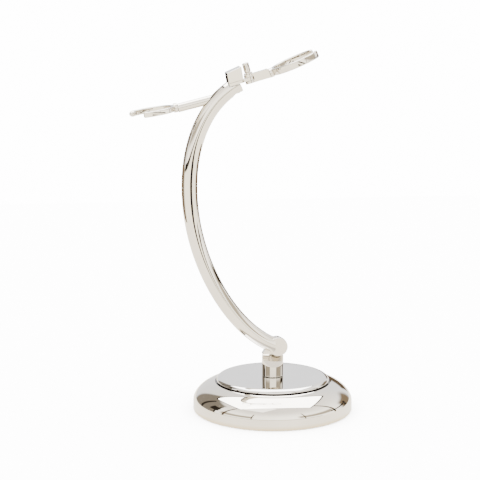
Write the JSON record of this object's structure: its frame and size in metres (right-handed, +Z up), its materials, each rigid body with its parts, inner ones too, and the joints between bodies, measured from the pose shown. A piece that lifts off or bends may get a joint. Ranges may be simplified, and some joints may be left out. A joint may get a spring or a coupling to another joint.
{
  "type": "razor and brush stand",
  "caption": "Polished countertop stand: weighted round base, short hinged post, long curved stem, an open brush fork on one side and an open razor ring on a swinging arm.",
  "frame": {"origin": "centre of the underside of the base, on the post's axis", "axes": "+Z up along the post; the curved stem and both side arms lie in the XZ plane, the razor ring toward +X and the brush fork toward -X; -Y is the front"},
  "size_m": [0.1074, 0.078, 0.1757],
  "materials": {
    "polished_nickel": "mirror-polished nickel plate",
    "fastener_steel": "plain turned steel",
    "weight_iron": "rough casting",
    "pad_rubber": "matte"
  },
  "bodies": {
    "base": {"base_shell": "polished_nickel", "top_disc": "polished_nickel", "base_weight": "weight_iron", "base_plate": "fastener_steel", "base_pad": "pad_rubber", "clamp_washer": "fastener_steel", "clamp_nut": "fastener_steel", "plate_screw_1": "fastener_steel", "plate_screw_2": "fastener_steel", "plate_screw_3": "fastener_steel", "post": "polished_nickel"},
    "stem": {"friction_washer": "fastener_steel", "spring_washer": "fastener_steel", "hinge_screw": "fastener_steel", "curved_stem": "polished_nickel", "left_arm": "polished_nickel", "left_fork": "polished_nickel", "left_fork_screw": "fastener_steel", "head_block": "polished_nickel", "pivot_plate": "polished_nickel", "head_screw": "fastener_steel"},
    "right_arm": {"right_arm": "polished_nickel", "right_ring": "polished_nickel", "right_ring_screw": "fastener_steel"},
    "thumb_screw": {"thumb_screw": "polished_nickel", "thumb_washer": "polished_nickel"}
  },
  "joints": [
    {"name": "stem_tilt", "type": "hinge", "parent": "base", "child": "stem", "pos_m": [0.0024, 0, 0.0318], "axis": [0, 1, 0], "range_deg": [-20, 30]},
    {"name": "right_arm_swing", "type": "hinge", "parent": "stem", "child": "right_arm", "pos_m": [-0.0116, 0, 0.1622], "axis": [-0.2756, 0, 0.9613], "range_deg": [-70, 70]},
    {"name": "thumb_screw_turn", "type": "hinge", "parent": "right_arm", "child": "thumb_screw", "pos_m": [-0.0116, 0, 0.1622], "axis": [-0.2756, 0, 0.9613], "range_deg": [0, 180]}
  ]
}
